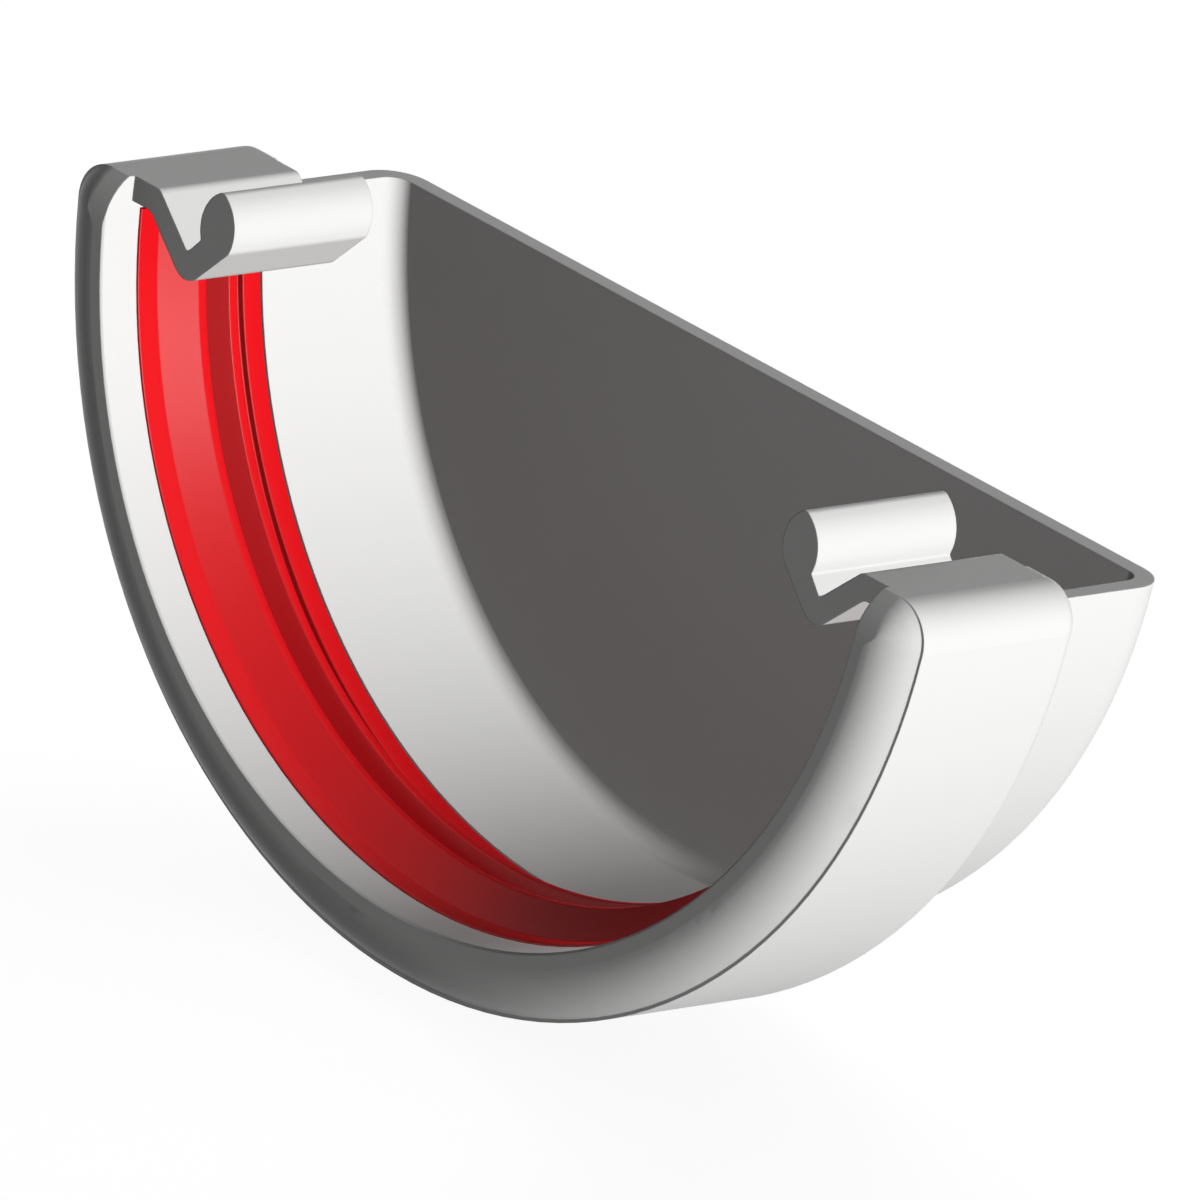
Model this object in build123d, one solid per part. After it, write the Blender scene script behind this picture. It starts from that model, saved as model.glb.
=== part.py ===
"""Stop end for a half-round rain gutter, in millimetres.

A moulded cap slides over the end of the gutter and two hooks snap over the
gutter's rims. A rubber strip in the cap's collar seals against the gutter.
X runs across the gutter, Y from the open mouth to the closed back, Z up.
The origin is the centre of the gutter's circle, in the plane of the mouth.
"""
from build123d import *
import os
from math import radians, sin, sqrt, tan

os.makedirs("parts", exist_ok=True)

# Gutter that the cap fits
GUTTER_R = 56.0          # outside radius of the half-round gutter
SLIDE_GAP = 0.5          # radial gap between gutter and mouth

# Rear wall and back plate
LENGTH = 38.8            # mouth to outer face of the plate
WALL = 2.0
DRAFT = 1.0              # degrees, the bore narrows towards the back
RIM_Z = -5.1             # cut-off rim of wall and plate
BACK_ROUND = 4.0         # outer edge between wall and plate

# Collar round the mouth
COLLAR_LENGTH = 22.2
COLLAR_WALL = 2.1        # outside the seal groove
COLLAR_REAR_ROUND = 1.5
TOP_Z = -1.9             # flat top of collar and straps
TOP_ROUND = 4.0          # upper outer corners

# Rounded nose in front of the collar
NOSE_LENGTH = 2.6
NOSE_ROUND = 6.2
NOSE_STEP = 0.35         # the collar stands this far above the nose
MOUTH_CUT = 0.2          # chamfer on the inner edge of the mouth

# Rubber seal and its groove; heights count inwards from the mouth radius
SEAL_Y = 4.5             # front edge of the seal
SEAL_WIDTH = 15.6
SEAL_END_Z = -5.3        # both ends of the strip
SEAL_BASE = 5.2          # groove floor to the beads
SEAL_GAP = 0.1           # to the groove's sides and ends
BEAD = 0.3               # beads along both edges
BEAD_WIDTH = 2.3
LIP = 3.2                # two lips that the gutter bends over
LIP_Y = 9.7              # front edge of the first lip's crest
LIP_PITCH = 3.9          # to the front edge of the second crest
CREST_WIDTH = 1.0
LIP_ROOT = 0.6           # valleys behind the lips, outside the mouth radius
LIP_BACK = 0.5           # lean of a lip's rear face
LIP_FRONT = 1.3          # lean of the second lip's front face

# Snap hooks, measured inwards from the mouth radius and down from the flat top
HOOK_Y = 3.3             # front end of both hooks
HOOK_LENGTH = 17.5
STRAP = 2.5              # thickness of strap and arm
STRAP_REACH = 4.0        # flat part before the arm falls
ARM_ANGLE = 41.0         # degrees
VALLEY = 4.5             # depth of the valley between arm and grip bar
BAR_REACH = 15.3         # to the bar's inner side
BAR_WIDTH = 4.8
BAR_TIP = 3.0            # above the flat top, before rounding
BAR_FOOT = 2.7           # below the flat top
BAR_TAPER = 0.3          # each side, at the foot
HEEL_ANGLE = 45.0        # degrees, slant below the bar's inner side
TIP_ROUND = 0.9
HEEL_ROUND = 2.4
BEND_ROUND = 1.2
CREASE_ROUND = 0.3

# Sizes that follow
mouth_r = GUTTER_R + SLIDE_GAP
plate_y = LENGTH - WALL
plate_r = mouth_r - plate_y * tan(radians(DRAFT))
bead_r = mouth_r - BEAD
groove_r = bead_r + SEAL_BASE
collar_r = groove_r + COLLAR_WALL
nose_r = collar_r - NOSE_STEP
strap_z = TOP_Z - STRAP
nose_depth = sqrt(NOSE_ROUND**2 - (NOSE_ROUND - NOSE_LENGTH) ** 2)
reach = 2 * collar_r     # larger than the part in every direction


def across(section, start, length):
    """Prism along Y of a section drawn in X and Z."""
    return extrude(Plane.XZ.offset(-start - length) * section, amount=length)


def turned(profile):
    """Lower half turn of a profile drawn as radius and Y."""
    return revolve(profile, axis=Axis.Y, revolution_arc=180)


def box_profile(radius, start, end):
    """Profile of a plain disc between two places along Y."""
    return make_face(Polyline((0, start), (radius, start), (radius, end), (0, end), close=True))


def below(z):
    """Everything under the height z."""
    return Pos(0, 0, z - reach / 2) * Box(2 * reach, 2 * reach, reach)


def both_sides(solid):
    """A solid and its mirror image across the gutter."""
    return [solid, mirror(solid, about=Plane.YZ)]


def rounded(face, corners):
    """Face with each (point, radius) corner rounded."""
    for point, radius in corners:
        corner = face.vertices().sort_by_distance(Vector(*point))[0]
        face = fillet(corner, radius)
    return face


def collar_section():
    """Circle cut off by the flat top, with rounded upper corners."""
    face = Circle(collar_r) & Pos(0, TOP_Z - reach / 2) * Rectangle(2 * reach, reach)
    return fillet(face.vertices().group_by(Axis.Y)[-1], TOP_ROUND)


def nose_drop(y):
    """How far the nose's surface lies inside its outer edge at y."""
    return nose_depth - sqrt(NOSE_ROUND**2 - (NOSE_ROUND - y) ** 2)


def nose_profile(edge):
    """Rounded front edge up to `edge`, and everything inside it."""
    arc = ThreePointArc(
        (edge - nose_drop(0), 0),
        (edge - nose_drop(NOSE_LENGTH / 4), NOSE_LENGTH / 4),
        (edge, NOSE_LENGTH),
    )
    rest = Polyline(arc @ 1, (-reach, NOSE_LENGTH), (-reach, 0), arc @ 0)
    return make_face([arc, rest])


def right_of_axis(profile):
    """The part of a nose profile that can be turned about the Y axis."""
    return profile & Pos(reach / 2, 0) * Rectangle(reach, reach)


# Nose: one rounding follows the circle, the corners and the flat top
ring = turned(right_of_axis(nose_profile(nose_r)))
flat = extrude(
    Plane(origin=(0, 0, 0), x_dir=(0, 0, 1), z_dir=(-1, 0, 0)) * nose_profile(TOP_Z),
    amount=reach,
    both=True,
)
cz = TOP_Z - TOP_ROUND
cx = sqrt((nose_r - TOP_ROUND) ** 2 - cz**2)
spoke = Vector(cx, cz).normalized() * (2 * TOP_ROUND)
sector = across(
    make_face(
        Polyline(
            (cx, cz),
            (cx, cz + 2 * TOP_ROUND),
            (cx + 2 * TOP_ROUND, cz + 2 * TOP_ROUND),
            (cx + spoke.X, cz + spoke.Y),
            close=True,
        )
    ),
    0,
    NOSE_LENGTH,
)
knob = Pos(cx, 0, cz) * revolve(right_of_axis(nose_profile(TOP_ROUND)), axis=Axis.Y)
nose = (ring & flat) - both_sides(sector) + both_sides(knob & sector)

# Collar
collar = across(collar_section(), NOSE_LENGTH, COLLAR_LENGTH - NOSE_LENGTH)
collar = fillet(collar.faces().sort_by(Axis.Y)[-1].edges(), COLLAR_REAR_ROUND)

# Rear wall and back plate, still solid
rear_r = plate_r + WALL
rear = turned(
    rounded(
        box_profile(rear_r, NOSE_LENGTH, LENGTH),
        [((rear_r, LENGTH), BACK_ROUND)],
    )
)

# Bore, with its draft, the chamfer of the mouth and the rounding at the plate
bore_outline = Polyline(
    (0, 0),
    (mouth_r + MOUTH_CUT, 0),
    (mouth_r, MOUTH_CUT),
    (plate_r, plate_y),
    (0, plate_y),
    close=True,
)
bore = turned(rounded(make_face(bore_outline), [((plate_r, plate_y), BACK_ROUND - WALL)]))

# Groove for the seal, closed at both ends by the wall under the straps
groove_start = SEAL_Y - SEAL_GAP
groove_end = SEAL_Y + SEAL_WIDTH + SEAL_GAP
groove = turned(box_profile(groove_r, groove_start, groove_end)) & below(SEAL_END_Z + SEAL_GAP)


def hook_section():
    """Strap, arm, valley and grip bar of the right-hand hook."""
    slope = tan(radians(ARM_ANGLE))
    wall = mouth_r + WALL
    bend = (mouth_r - STRAP_REACH, TOP_Z)
    valley = (bend[0] - VALLEY / slope, TOP_Z - VALLEY)
    bar_in = mouth_r - BAR_REACH
    bar_out = bar_in + BAR_WIDTH
    bar_x = (bar_in + bar_out) / 2
    middle = TOP_Z + (BAR_TIP - BAR_FOOT) / 2
    foot_z = TOP_Z - BAR_FOOT
    tip = (bar_x, TOP_Z + BAR_TIP)
    foot_out = (bar_out - BAR_TAPER, foot_z)
    foot_in = (bar_in + BAR_TAPER, foot_z)

    # Underside of the arm, and where it meets the slant below the bar
    under_x = bend[0] + STRAP / sin(radians(ARM_ANGLE))
    under_bend = (under_x - STRAP / slope, strap_z)
    heel_slope = tan(radians(HEEL_ANGLE))
    heel_x = (foot_z + heel_slope * foot_in[0] - TOP_Z + slope * under_x) / (slope + heel_slope)
    heel = (heel_x, foot_z - heel_slope * (heel_x - foot_in[0]))

    outline = [
        Polyline((wall, TOP_Z), bend, valley, foot_out),
        ThreePointArc(foot_out, (bar_out, middle), tip),
        ThreePointArc(tip, (bar_in, middle), foot_in),
        Polyline(foot_in, heel, under_bend, (wall, strap_z), (wall, TOP_Z)),
    ]
    return rounded(
        make_face(outline),
        [
            (bend, BEND_ROUND),
            (valley, CREASE_ROUND),
            (foot_out, CREASE_ROUND),
            (tip, TIP_ROUND),
            (foot_in, BEND_ROUND),
            (heel, HEEL_ROUND),
            (under_bend, BEND_ROUND),
        ],
    )


hook = across(hook_section(), HOOK_Y, HOOK_LENGTH)

# One moulding
body = nose + collar + (rear & below(RIM_Z)) - bore - groove + both_sides(hook)
export_step(body, "parts/end_cap_body.step")


def seal_profile():
    """Section of the rubber strip, as radius and distance along Y."""
    end = SEAL_Y + SEAL_WIDTH
    crest_r = mouth_r - LIP
    valley_r = mouth_r + LIP_ROOT
    first, second = LIP_Y, LIP_Y + LIP_PITCH
    outline = Polyline(
        (groove_r, SEAL_Y),
        (bead_r, SEAL_Y),
        (bead_r, SEAL_Y + BEAD_WIDTH),
        (crest_r, first),
        (crest_r, first + CREST_WIDTH),
        (valley_r, first + CREST_WIDTH + LIP_BACK),
        (valley_r, second - LIP_FRONT),
        (crest_r, second),
        (crest_r, second + CREST_WIDTH),
        (valley_r, second + CREST_WIDTH + LIP_BACK),
        (valley_r, end - BEAD_WIDTH),
        (bead_r, end - BEAD_WIDTH),
        (bead_r, end),
        (groove_r, end),
        close=True,
    )
    return make_face(outline)


# Rubber seal, seated on the floor of the groove
seal = turned(seal_profile()) & below(SEAL_END_Z)
export_step(seal, "parts/rubber_seal.step")
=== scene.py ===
"""Gutter end cap in PVC with a red rubber seal: its finish, its stage and its camera."""
import math

import bpy
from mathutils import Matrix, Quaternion, Vector


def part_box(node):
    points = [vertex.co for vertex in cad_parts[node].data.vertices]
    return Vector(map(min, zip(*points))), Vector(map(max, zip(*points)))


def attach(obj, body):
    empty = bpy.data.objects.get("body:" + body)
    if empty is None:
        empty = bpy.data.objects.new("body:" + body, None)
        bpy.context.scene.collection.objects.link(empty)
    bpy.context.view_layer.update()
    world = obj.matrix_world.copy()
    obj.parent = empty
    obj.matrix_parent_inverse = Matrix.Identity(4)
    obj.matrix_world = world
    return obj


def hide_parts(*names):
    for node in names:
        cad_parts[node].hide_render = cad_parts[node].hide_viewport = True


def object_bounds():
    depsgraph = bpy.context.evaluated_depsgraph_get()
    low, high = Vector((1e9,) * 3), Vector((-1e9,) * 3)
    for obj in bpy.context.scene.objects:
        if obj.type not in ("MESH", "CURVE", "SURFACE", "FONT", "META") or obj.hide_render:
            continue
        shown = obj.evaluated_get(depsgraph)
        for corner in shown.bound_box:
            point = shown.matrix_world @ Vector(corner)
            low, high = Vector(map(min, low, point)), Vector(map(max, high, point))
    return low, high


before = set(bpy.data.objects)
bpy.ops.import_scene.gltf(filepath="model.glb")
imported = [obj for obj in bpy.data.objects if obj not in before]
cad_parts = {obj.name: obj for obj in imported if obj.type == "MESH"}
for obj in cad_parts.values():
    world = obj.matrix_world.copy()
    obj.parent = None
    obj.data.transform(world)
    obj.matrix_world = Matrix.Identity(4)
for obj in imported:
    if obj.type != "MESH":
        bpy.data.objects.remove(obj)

bl_info = {
    "name": "Gutter End Cap",
    "version": (1, 0, 0),
    "blender": (4, 5, 0),
    "location": "View3D > Sidebar > End Cap",
    "description": "Dresses the moulded cap, lays its rubber seal and sets the studio",
    "category": "Object",
}

MM = 0.001
BODY = "end_cap_body"
SEAL = "rubber_seal"
STRIP = "seal_strip"
FLOOR = "floor"

CAD_LOW, CAD_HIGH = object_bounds()
SEAL_LOW, SEAL_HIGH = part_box(SEAL)

# Real sizes of the patterns in the surfaces
FLOW_SIZE = 20 * MM
TOOL_GRAIN = 0.35 * MM
DIE_LINES = 0.5 * MM
RUBBER_GRAIN = 0.3 * MM
BUMP_HEIGHT = 0.01 * MM

# Strip: points on each rounded edge of its section, and the bend that still shades as an edge
ROUND_POINTS = 3
SHARP_BEND = math.radians(35)

# Studio, in metres, and the camera's lens and sensor, in millimetres
FLOOR_HALF = 3.0
LENS = 1000.0
SENSOR = 36.0


def linear(hex_colour):
    """sRGB hex colour as linear RGBA."""
    channels = [int(hex_colour[i : i + 2], 16) / 255 for i in (1, 3, 5)]
    return [c / 12.92 if c <= 0.04045 else ((c + 0.055) / 1.055) ** 2.4 for c in channels] + [1.0]


def add_node(tree, kind, settings=None, feeds=(), **links):
    """One node: settings by name, feeds (sockets or numbers) in the inputs' order, links by input."""
    node = tree.nodes.new(kind)
    for name, value in (settings or {}).items():
        if name in node.inputs:
            node.inputs[name].default_value = value
        else:
            setattr(node, name, value)
    for socket, feed in zip(node.inputs, feeds):
        if isinstance(feed, bpy.types.NodeSocket):
            tree.links.new(feed, socket)
        else:
            socket.default_value = feed
    for name, socket in links.items():
        tree.links.new(socket, node.inputs[name.replace("_", " ")])
    return node


def new_material(name):
    """An empty material with its node tree."""
    material = bpy.data.materials.new(name)
    material.use_nodes = True
    material.node_tree.nodes.clear()
    return material, material.node_tree


class EndCapFinish(bpy.types.PropertyGroup):
    """Colours and surface of the two pieces."""

    pvc_colour: bpy.props.FloatVectorProperty(
        name="PVC colour",
        description="Colour of the moulded cap",
        subtype="COLOR",
        size=4,
        min=0,
        max=1,
        default=linear("#D2D2D1"),
    )
    rubber_colour: bpy.props.FloatVectorProperty(
        name="Rubber colour",
        description="Colour of the seal",
        subtype="COLOR",
        size=4,
        min=0,
        max=1,
        default=linear("#D01119"),
    )
    edge_round: bpy.props.FloatProperty(
        name="Edge rounding",
        description="Rounding that the mould leaves on an edge drawn sharp",
        unit="LENGTH",
        default=0.2 * MM,
    )


class EndCapSeal(bpy.types.PropertyGroup):
    """Section of the rubber strip; heights count inwards from the floor of the groove."""

    bead_height: bpy.props.FloatProperty(
        name="Bead height",
        description="Groove floor to the top of both edge beads",
        unit="LENGTH",
        default=5.2 * MM,
    )
    bead_width: bpy.props.FloatProperty(
        name="Bead width",
        description="Width of each edge bead",
        unit="LENGTH",
        default=2.3 * MM,
    )
    valley_height: bpy.props.FloatProperty(
        name="Valley height",
        description="Groove floor to the valleys behind the lips",
        unit="LENGTH",
        default=4.3 * MM,
    )
    lip_height: bpy.props.FloatProperty(
        name="Lip height",
        description="Groove floor to the crest of both lips",
        unit="LENGTH",
        default=8.1 * MM,
    )
    lip_start: bpy.props.FloatProperty(
        name="First lip",
        description="Front edge of the strip to the crest of the first lip",
        unit="LENGTH",
        default=5.2 * MM,
    )
    lip_pitch: bpy.props.FloatProperty(
        name="Lip pitch",
        description="Distance between the two crests",
        unit="LENGTH",
        default=3.9 * MM,
    )
    crest_width: bpy.props.FloatProperty(
        name="Crest width",
        description="Flat width of each crest",
        unit="LENGTH",
        default=1.0 * MM,
    )
    lip_back: bpy.props.FloatProperty(
        name="Rear lean",
        description="How far a lip's rear face leans",
        unit="LENGTH",
        default=0.5 * MM,
    )
    lip_front: bpy.props.FloatProperty(
        name="Front lean",
        description="How far the second lip's front face leans",
        unit="LENGTH",
        default=1.3 * MM,
    )
    edge_round: bpy.props.FloatProperty(
        name="Edge rounding",
        description="Rounding along the edges of the strip",
        unit="LENGTH",
        default=0.22 * MM,
    )
    steps: bpy.props.IntProperty(
        name="Steps",
        description="Steps along the half ring",
        default=240,
        min=24,
    )


class EndCapStage(bpy.types.PropertyGroup):
    """Camera, floor and the white room round them."""

    azimuth: bpy.props.FloatProperty(
        name="Azimuth",
        description="Camera's turn round the cap, from the open mouth to the right",
        subtype="ANGLE",
        default=math.radians(46.52),
    )
    elevation: bpy.props.FloatProperty(
        name="Elevation",
        description="Camera's height above the horizon",
        subtype="ANGLE",
        default=math.radians(19.48),
    )
    roll: bpy.props.FloatProperty(
        name="Roll",
        description="Turn of the camera about its own line of sight",
        subtype="ANGLE",
        default=math.radians(9.48),
    )
    aim: bpy.props.FloatVectorProperty(
        name="Aim",
        description="Point that the camera looks at",
        subtype="TRANSLATION",
        default=(-0.55 * MM, 20.6 * MM, -26.75 * MM),
    )
    frame_width: bpy.props.FloatProperty(
        name="Frame width",
        description="Width of the view at the cap",
        unit="LENGTH",
        default=115.1 * MM,
    )
    floor_colour: bpy.props.FloatVectorProperty(
        name="Floor colour",
        description="Colour of the floor",
        subtype="COLOR",
        size=4,
        min=0,
        max=1,
        default=linear("#BEBEBE"),
    )
    floor_lift: bpy.props.FloatProperty(
        name="Floor lift",
        description="How far the floor is lifted towards white where it is seen",
        default=0.79,
    )
    room_light: bpy.props.FloatProperty(
        name="Room light",
        description="Light that the white room gives",
        default=0.068,
    )


def moulded_pvc(finish):
    """Rigid PVC, injection moulded in a finely matted tool: a soft, low gloss, faintly uneven."""
    material, tree = new_material("moulded_pvc_white")
    place = add_node(tree, "ShaderNodeTexCoord").outputs["Object"]

    # Flow and cooling leave a slow, faint change of tone and gloss
    flow = add_node(tree, "ShaderNodeTexNoise", {"Scale": 1 / FLOW_SIZE, "Detail": 2.0}, Vector=place)
    tone = add_node(
        tree,
        "ShaderNodeMapRange",
        {"To Min": 0.985, "To Max": 1.0},
        Value=flow.outputs["Fac"],
    )
    colour = add_node(
        tree,
        "ShaderNodeVectorMath",
        {"operation": "SCALE", "Vector": finish.pvc_colour[:3]},
        Scale=tone.outputs["Result"],
    )
    rough = add_node(
        tree,
        "ShaderNodeMapRange",
        {"To Min": 0.36, "To Max": 0.42},
        Value=flow.outputs["Fac"],
    )

    # The tool's fine matt grain barely lifts the surface, and its edges come out rounded
    grain = add_node(tree, "ShaderNodeTexNoise", {"Scale": 1 / TOOL_GRAIN, "Detail": 1.0}, Vector=place)
    edge = add_node(tree, "ShaderNodeBevel", {"samples": 6, "Radius": finish.edge_round})
    bump = add_node(
        tree,
        "ShaderNodeBump",
        {"Strength": 0.12, "Distance": BUMP_HEIGHT},
        Height=grain.outputs["Fac"],
        Normal=edge.outputs["Normal"],
    )
    shader = add_node(
        tree,
        "ShaderNodeBsdfPrincipled",
        {"IOR": 1.53, "Specular IOR Level": 0.12},
        Base_Color=colour.outputs["Vector"],
        Roughness=rough.outputs["Result"],
        Normal=bump.outputs["Normal"],
    )
    add_node(tree, "ShaderNodeOutputMaterial", Surface=shader.outputs["BSDF"])
    return material


def seal_rubber(finish):
    """Soft rubber strip, extruded: a satin sheen with faint lines along its length."""
    material, tree = new_material("seal_rubber_red")
    place = add_node(tree, "ShaderNodeTexCoord").outputs["Object"]

    # The die draws its lines along the strip; only Y crosses them on every face
    across = add_node(tree, "ShaderNodeSeparateXYZ", Vector=place)
    lines = add_node(
        tree,
        "ShaderNodeTexNoise",
        {"noise_dimensions": "1D", "Scale": 1 / DIE_LINES, "Detail": 2.0},
        W=across.outputs["Y"],
    )
    grain = add_node(tree, "ShaderNodeTexNoise", {"Scale": 1 / RUBBER_GRAIN, "Detail": 1.0}, Vector=place)
    height = add_node(
        tree,
        "ShaderNodeMath",
        {"operation": "ADD"},
        [lines.outputs["Fac"], grain.outputs["Fac"]],
    )
    bump = add_node(
        tree,
        "ShaderNodeBump",
        {"Strength": 0.2, "Distance": BUMP_HEIGHT},
        Height=height.outputs["Value"],
    )
    shader = add_node(
        tree,
        "ShaderNodeBsdfPrincipled",
        {"Base Color": finish.rubber_colour, "Roughness": 0.38, "IOR": 1.52, "Specular IOR Level": 0.25},
        Normal=bump.outputs["Normal"],
    )
    add_node(tree, "ShaderNodeOutputMaterial", Surface=shader.outputs["BSDF"])
    return material


def in_sight(tree):
    """Socket that is 1 where a thing is seen itself, mirrored or through glass, and otherwise 0."""
    path = add_node(tree, "ShaderNodeLightPath").outputs
    seen = add_node(
        tree,
        "ShaderNodeMath",
        {"operation": "MAXIMUM"},
        [path["Is Camera Ray"], path["Is Glossy Ray"]],
    )
    clear = add_node(
        tree,
        "ShaderNodeMath",
        {"operation": "MAXIMUM"},
        [seen.outputs["Value"], path["Is Transmission Ray"]],
    )
    return clear.outputs["Value"]


def pale_floor(stage):
    """Matt painted board; the camera sees it white, and only the cap's shadow dims it."""
    material, tree = new_material("matt_white_board")
    board = add_node(tree, "ShaderNodeBsdfDiffuse", {"Color": stage.floor_colour})
    lift = add_node(
        tree,
        "ShaderNodeMath",
        {"operation": "MULTIPLY"},
        [in_sight(tree), stage.floor_lift],
    )
    glow = add_node(tree, "ShaderNodeEmission", Strength=lift.outputs["Value"])
    both = add_node(tree, "ShaderNodeAddShader", None, [board.outputs["BSDF"], glow.outputs["Emission"]])
    add_node(tree, "ShaderNodeOutputMaterial", Surface=both.outputs["Shader"])
    return material


def seal_corners(seal):
    """Section of the strip from its front corner round to the groove's floor, as (y, radius)."""
    floor = -SEAL_LOW.z
    front, rear = SEAL_LOW.y, SEAL_HIGH.y
    bead = floor - seal.bead_height
    valley = floor - seal.valley_height
    crest = floor - seal.lip_height
    first = front + seal.lip_start
    second = first + seal.lip_pitch
    return [
        (front, floor),
        (front, bead),
        (front + seal.bead_width, bead),
        (first, crest),
        (first + seal.crest_width, crest),
        (first + seal.crest_width + seal.lip_back, valley),
        (second - seal.lip_front, valley),
        (second, crest),
        (second + seal.crest_width, crest),
        (second + seal.crest_width + seal.lip_back, valley),
        (rear - seal.bead_width, valley),
        (rear - seal.bead_width, bead),
        (rear, bead),
        (rear, floor),
    ]


def section_curve(name, corners):
    """Closed flat curve through the corners, its X the place along the gutter, its Y the radius."""
    data = bpy.data.curves.new(name, "CURVE")
    data.dimensions = "3D"
    spline = data.splines.new("POLY")
    spline.points.add(len(corners) - 1)
    for point, (y, radius) in zip(spline.points, corners):
        point.co = (y, radius, 0, 1)
    spline.use_cyclic_u = True
    curve = bpy.data.objects.new(name, data)
    bpy.context.scene.collection.objects.link(curve)
    return curve


def bent_strip_tree():
    """Sweeps a section straight along the strip, then bends it into a half ring with level ends."""
    tree = bpy.data.node_groups.new("bent_strip", "GeometryNodeTree")
    sizes = {
        "Section": "NodeSocketObject",
        "End Height": "NodeSocketFloat",
        "Edge Rounding": "NodeSocketFloat",
        "Steps": "NodeSocketInt",
        "Material": "NodeSocketMaterial",
    }
    for name, kind in sizes.items():
        tree.interface.new_socket(name, in_out="INPUT", socket_type=kind)
    tree.interface.new_socket("Geometry", in_out="OUTPUT", socket_type="NodeSocketGeometry")
    given = add_node(tree, "NodeGroupInput").outputs

    section = add_node(tree, "GeometryNodeObjectInfo", Object=given["Section"])
    soft = add_node(
        tree,
        "GeometryNodeFilletCurve",
        {"mode": "POLY", "Count": ROUND_POINTS, "Limit Radius": True},
        Curve=section.outputs["Geometry"],
        Radius=given["Edge Rounding"],
    )
    line = add_node(tree, "GeometryNodeCurvePrimitiveLine", {"Start": (0, 0, 0), "End": (0, 0, 1)})
    steps = add_node(
        tree,
        "GeometryNodeResampleCurve",
        {"mode": "COUNT"},
        Curve=line.outputs["Curve"],
        Count=given["Steps"],
    )
    straight = add_node(
        tree,
        "GeometryNodeCurveToMesh",
        {"Fill Caps": True},
        Curve=steps.outputs["Curve"],
        Profile_Curve=soft.outputs["Curve"],
    )

    # X is the place along the gutter, Y the radius, and Z runs from 0 to 1 along the strip
    spot = add_node(tree, "GeometryNodeInputPosition")
    parts = add_node(tree, "ShaderNodeSeparateXYZ", Vector=spot.outputs["Position"])
    along, radius, run = (parts.outputs[axis] for axis in "XYZ")

    # A point's ring starts and ends where it meets the level of the strip's ends
    drop = add_node(tree, "ShaderNodeMath", {"operation": "DIVIDE"}, [given["End Height"], radius])
    end_angle = add_node(tree, "ShaderNodeMath", {"operation": "ARCSINE"}, [drop.outputs["Value"]])
    sweep = add_node(
        tree,
        "ShaderNodeMath",
        {"operation": "MULTIPLY_ADD"},
        [end_angle.outputs["Value"], 2.0, math.pi],
    )
    turn = add_node(tree, "ShaderNodeMath", {"operation": "MULTIPLY"}, [run, sweep.outputs["Value"]])
    angle = add_node(
        tree,
        "ShaderNodeMath",
        {"operation": "SUBTRACT"},
        [turn.outputs["Value"], end_angle.outputs["Value"]],
    )
    arm = add_node(tree, "ShaderNodeCombineXYZ", X=radius, Y=along)
    bent = add_node(
        tree,
        "ShaderNodeVectorRotate",
        {"rotation_type": "Y_AXIS"},
        Vector=arm.outputs["Vector"],
        Angle=angle.outputs["Value"],
    )
    strip = add_node(
        tree,
        "GeometryNodeSetPosition",
        Geometry=straight.outputs["Mesh"],
        Position=bent.outputs["Vector"],
    )
    whole = add_node(tree, "GeometryNodeRealizeInstances", Geometry=strip.outputs["Geometry"])
    dressed = add_node(
        tree,
        "GeometryNodeSetMaterial",
        Geometry=whole.outputs["Geometry"],
        Material=given["Material"],
    )
    add_node(tree, "NodeGroupOutput", Geometry=dressed.outputs["Geometry"])
    return tree


def plain_mesh(tree, inputs, name):
    """The object that a Geometry Nodes tree makes from named inputs, as a plain mesh."""
    holder = bpy.data.objects.new(name, bpy.data.meshes.new(name))
    bpy.context.scene.collection.objects.link(holder)
    modifier = holder.modifiers.new(tree.name, "NODES")
    modifier.node_group = tree
    for item in tree.interface.items_tree:
        if item.in_out == "INPUT" and item.name in inputs:
            modifier[item.identifier] = inputs[item.name]
    holder.update_tag()
    evaluated = holder.evaluated_get(bpy.context.evaluated_depsgraph_get())
    mesh = bpy.data.meshes.new_from_object(evaluated)
    holder.modifiers.clear()
    holder.data = mesh
    mesh.name = name
    return holder


def lay_floor(stage):
    """Wide board under the cap."""
    mesh = bpy.data.meshes.new(FLOOR)
    corners = [(-1, -1), (1, -1), (1, 1), (-1, 1)]
    mesh.from_pydata([(x * FLOOR_HALF, y * FLOOR_HALF, CAD_LOW.z) for x, y in corners], [], [(0, 1, 2, 3)])
    mesh.materials.append(pale_floor(stage))
    floor = bpy.data.objects.new(FLOOR, mesh)
    bpy.context.scene.collection.objects.link(floor)


def add_light(name, towards, distance, size, watts):
    """Square soft light that stands in a direction from the cap's middle and faces it."""
    lamp = bpy.data.lights.new(name, "AREA")
    lamp.shape = "SQUARE"
    lamp.size = size
    lamp.energy = watts
    direction = Vector(towards).normalized()
    light = bpy.data.objects.new(name, lamp)
    light.location = (CAD_LOW + CAD_HIGH) / 2 + direction * distance
    light.rotation_mode = "QUATERNION"
    light.rotation_quaternion = (-direction).to_track_quat("-Z", "Y")
    bpy.context.scene.collection.objects.link(light)
    return light


def reach_only(light, piece):
    """Limits a light to one object."""
    reached = bpy.data.collections.new(light.name + "_reaches")
    reached.objects.link(bpy.data.objects[piece])
    light.light_linking.receiver_collection = reached


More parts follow.
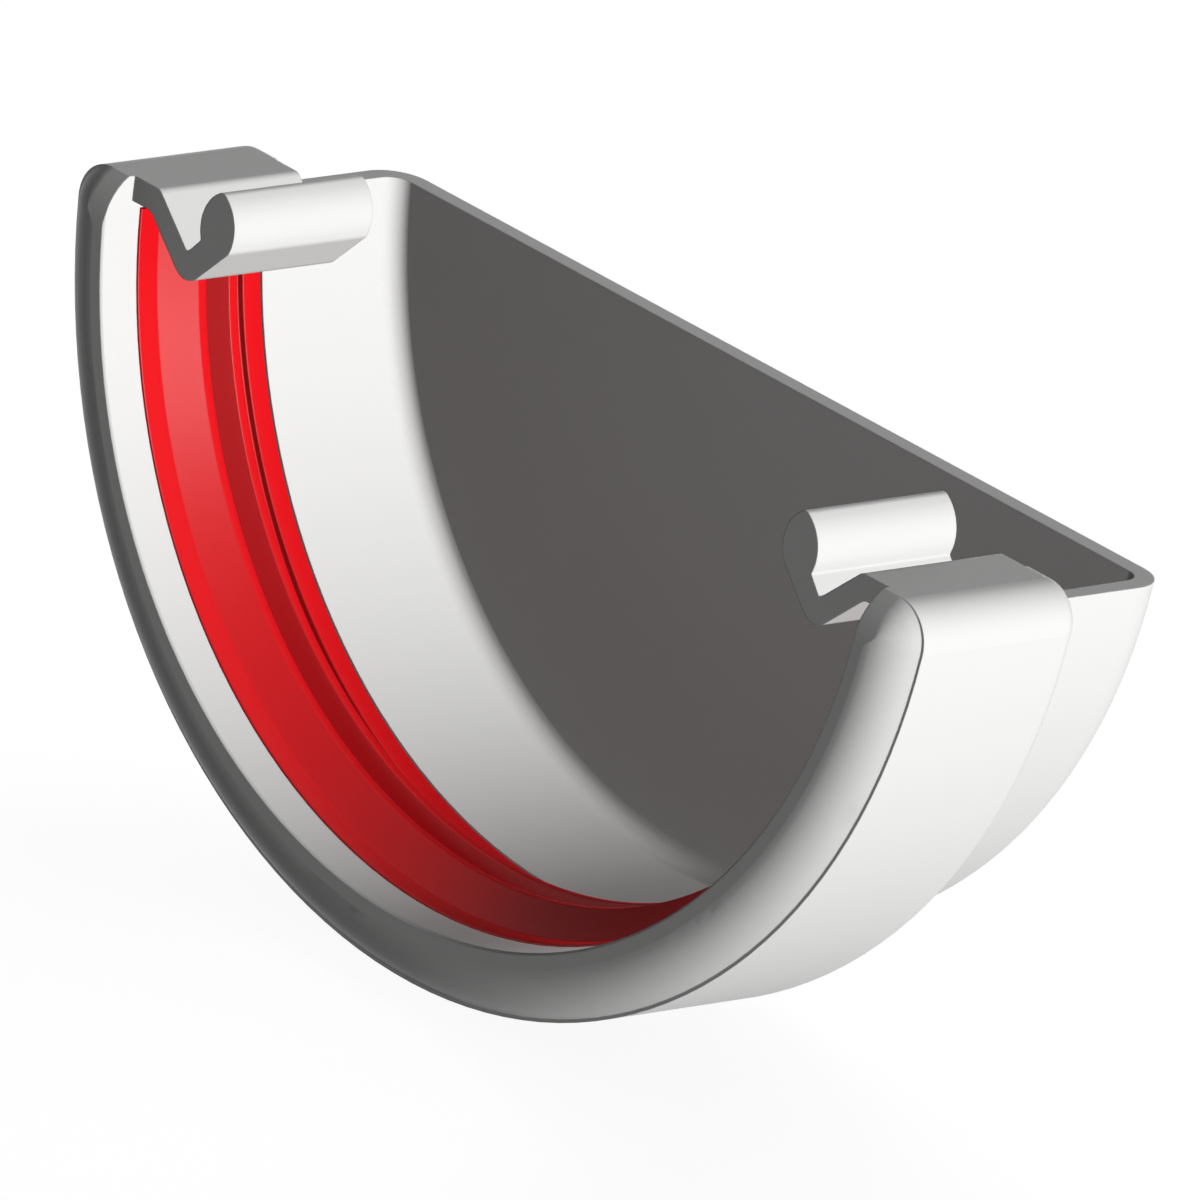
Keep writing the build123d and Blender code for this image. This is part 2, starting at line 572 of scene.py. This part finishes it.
def hang_lights():
    """Wide lights at both sides, a soft one for the shadow and a card for the rubber's gloss."""
    # Low on the right, which leaves the mouth's flat faces in shade
    key = add_light("key_light", towards=(0.99, -0.05, 0.13), distance=9.0, size=2.4, watts=1180.0)

    # Behind on the left, for the plate's outside and the left of the collar
    rear = add_light("rear_light", towards=(-0.70, 0.71, 0.03), distance=3.0, size=0.8, watts=100.0)

    # Neither wide light draws a shadow, gives bounce or shows in the gloss
    for light in (key, rear):
        light.visible_glossy = False
        light.data.use_shadow = False
        light.data.cycles.max_bounces = 0

    # Above and behind, for the floor alone, where it draws the shadow
    shadow = add_light("shadow_light", towards=(-0.25, 0.55, 0.80), distance=1.0, size=0.8, watts=1.4)
    reach_only(shadow, FLOOR)

    # Card in front on the right that shows only as gloss on the rubber
    card = add_light("gloss_card", towards=(0.53, -0.84, 0.11), distance=1.0, size=0.6, watts=11.0)
    card.visible_diffuse = False
    card.data.use_shadow = False
    reach_only(card, STRIP)


def white_room(stage):
    """World that is white where it is looked at or mirrored, and dim in the light that it gives."""
    world = bpy.data.worlds.new("white_room")
    world.use_nodes = True
    tree = world.node_tree
    tree.nodes.clear()
    strength = add_node(
        tree,
        "ShaderNodeMapRange",
        {"To Min": stage.room_light, "To Max": 1.0},
        Value=in_sight(tree),
    )
    walls = add_node(
        tree,
        "ShaderNodeBackground",
        {"Color": (1, 1, 1, 1)},
        Strength=strength.outputs["Result"],
    )
    add_node(tree, "ShaderNodeOutputWorld", Surface=walls.outputs["Background"])
    return world


def set_camera(stage):
    """Camera with a very long lens, far off, so that parallel edges stay parallel."""
    data = bpy.data.cameras.new("camera")
    data.sensor_width = SENSOR
    data.lens = LENS
    data.clip_start = 0.1
    data.clip_end = 20.0
    level = math.cos(stage.elevation)
    sight = Vector(
        (
            -math.sin(stage.azimuth) * level,
            math.cos(stage.azimuth) * level,
            -math.sin(stage.elevation),
        )
    )
    camera = bpy.data.objects.new("camera", data)
    camera.location = Vector(stage.aim) - sight * (stage.frame_width * LENS / SENSOR)
    camera.rotation_mode = "QUATERNION"
    camera.rotation_quaternion = sight.to_track_quat("-Z", "Y") @ Quaternion((0, 0, 1), stage.roll)
    bpy.context.scene.collection.objects.link(camera)
    return camera


class ENDCAP_OT_body(bpy.types.Operator):
    """Give the moulded cap its PVC"""

    bl_idname = "endcap.body"
    bl_label = "Moulded Cap"

    def execute(self, context):
        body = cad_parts[BODY]
        body.data.materials.clear()
        body.data.materials.append(moulded_pvc(context.scene.end_cap_finish))
        return {"FINISHED"}


class ENDCAP_OT_seal(bpy.types.Operator):
    """Lay the rubber strip into its groove"""

    bl_idname = "endcap.seal"
    bl_label = "Rubber Seal"

    def execute(self, context):
        seal = context.scene.end_cap_seal
        section = section_curve("strip_section", seal_corners(seal))
        strip = plain_mesh(
            bent_strip_tree(),
            {
                "Section": section,
                "End Height": SEAL_HIGH.z,
                "Edge Rounding": seal.edge_round,
                "Steps": seal.steps,
                "Material": seal_rubber(context.scene.end_cap_finish),
            },
            STRIP,
        )
        bpy.data.objects.remove(section)
        strip.data.shade_smooth()
        strip.data.set_sharp_from_angle(angle=SHARP_BEND)
        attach(strip, "root")
        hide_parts(SEAL)
        return {"FINISHED"}


class ENDCAP_OT_stage(bpy.types.Operator):
    """Set the floor, the lights, the white room and the camera"""

    bl_idname = "endcap.stage"
    bl_label = "Studio Stage"

    def execute(self, context):
        scene = context.scene
        stage = scene.end_cap_stage
        lay_floor(stage)
        hang_lights()
        scene.world = white_room(stage)
        scene.camera = set_camera(stage)
        scene.view_settings.view_transform = "Standard"
        return {"FINISHED"}


class ENDCAP_PT_sidebar(bpy.types.Panel):
    """End cap's sizes, colours and builders"""

    bl_idname = "ENDCAP_PT_sidebar"
    bl_label = "Gutter End Cap"
    bl_space_type = "VIEW_3D"
    bl_region_type = "UI"
    bl_category = "End Cap"

    def draw(self, context):
        groups = (
            (context.scene.end_cap_finish, "endcap.body"),
            (context.scene.end_cap_seal, "endcap.seal"),
            (context.scene.end_cap_stage, "endcap.stage"),
        )
        for group, operator in groups:
            box = self.layout.box()
            for name in group.__annotations__:
                box.prop(group, name)
            box.operator(operator)


CLASSES = (
    EndCapFinish,
    EndCapSeal,
    EndCapStage,
    ENDCAP_OT_body,
    ENDCAP_OT_seal,
    ENDCAP_OT_stage,
    ENDCAP_PT_sidebar,
)


def register():
    for cls in CLASSES:
        bpy.utils.register_class(cls)
    bpy.types.Scene.end_cap_finish = bpy.props.PointerProperty(type=EndCapFinish)
    bpy.types.Scene.end_cap_seal = bpy.props.PointerProperty(type=EndCapSeal)
    bpy.types.Scene.end_cap_stage = bpy.props.PointerProperty(type=EndCapStage)


def unregister():
    del bpy.types.Scene.end_cap_stage
    del bpy.types.Scene.end_cap_seal
    del bpy.types.Scene.end_cap_finish
    for cls in reversed(CLASSES):
        bpy.utils.unregister_class(cls)


def main():
    register()
    bpy.ops.endcap.body()
    bpy.ops.endcap.seal()
    bpy.ops.endcap.stage()


if __name__ == "__main__":
    main()
